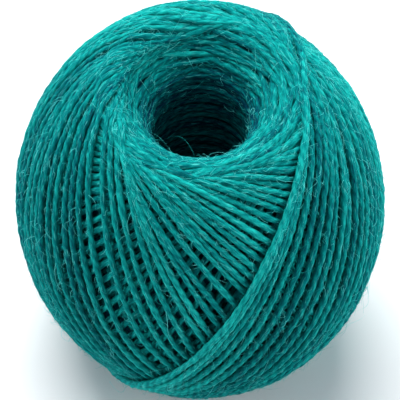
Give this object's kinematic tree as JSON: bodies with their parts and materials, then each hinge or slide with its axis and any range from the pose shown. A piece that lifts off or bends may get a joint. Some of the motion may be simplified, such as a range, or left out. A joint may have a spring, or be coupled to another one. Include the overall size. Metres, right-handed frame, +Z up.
{
  "type": "ball of twine",
  "caption": "Ball of two-ply jute twine with a hole right through it where it was wound, for tying and wrapping.",
  "frame": {"origin": "middle of the hole at the level of the face that the ball rests on", "axes": "+Z up along the hole, +Y across the ball in the plane of the last turns"},
  "size_m": [0.1006, 0.1032, 0.0987],
  "materials": {
    "twine": "rough dyed jute fibre"
  },
  "bodies": {
    "root": {"ball": "twine"}
  },
  "joints": []
}
